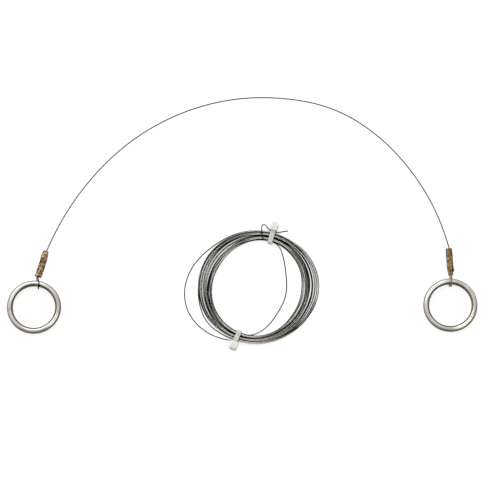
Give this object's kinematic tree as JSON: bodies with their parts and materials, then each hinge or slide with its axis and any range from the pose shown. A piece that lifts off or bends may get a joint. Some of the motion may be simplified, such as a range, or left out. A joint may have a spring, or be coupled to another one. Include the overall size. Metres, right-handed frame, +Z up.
{
  "type": "clay cutter",
  "caption": "Wire clay cutter: a steel wire crimped at its ends round steel pull rings, lying in an arc beside a tied coil of spare wire.",
  "frame": {"origin": "on the surface that the set lies on, below the middle of its box, measured without the free wire", "axes": "+X from the left ring to the right ring, +Y from the rings towards the top of the wire's arc, +Z up from the surface"},
  "size_m": [0.356, 0.2, 0.0079],
  "materials": {
    "wire": "dark twisted steel strand",
    "rings": "polished",
    "ferrules": "dull brown brass sheet",
    "ties": "natural translucent nylon"
  },
  "bodies": {
    "cutter": {"cutting_wire": "wire", "left_eye": "wire", "right_eye": "wire", "left_ferrule": "ferrules", "right_ferrule": "ferrules"},
    "left_ring": {"left_ring": "rings"},
    "right_ring": {"right_ring": "rings"},
    "spare": {"spare_wire": "wire", "top_tie": "ties", "bottom_tie": "ties"}
  },
  "joints": [
    {"name": "left_ring_swing", "type": "hinge", "parent": "cutter", "child": "left_ring", "pos_m": [-0.15418, 0.00163, 0.00361], "axis": [-0.9833, 0.1822, 0], "range_deg": [0, 170]},
    {"name": "right_ring_swing", "type": "hinge", "parent": "cutter", "child": "right_ring", "pos_m": [0.15782, 0.00344, 0.00361], "axis": [-0.9998, 0.0175, 0], "range_deg": [0, 170]},
    {"name": "spare_lift", "type": "slide", "parent": "cutter", "child": "spare", "axis": [0, 0, 1], "range_m": [0, 0.1]}
  ]
}
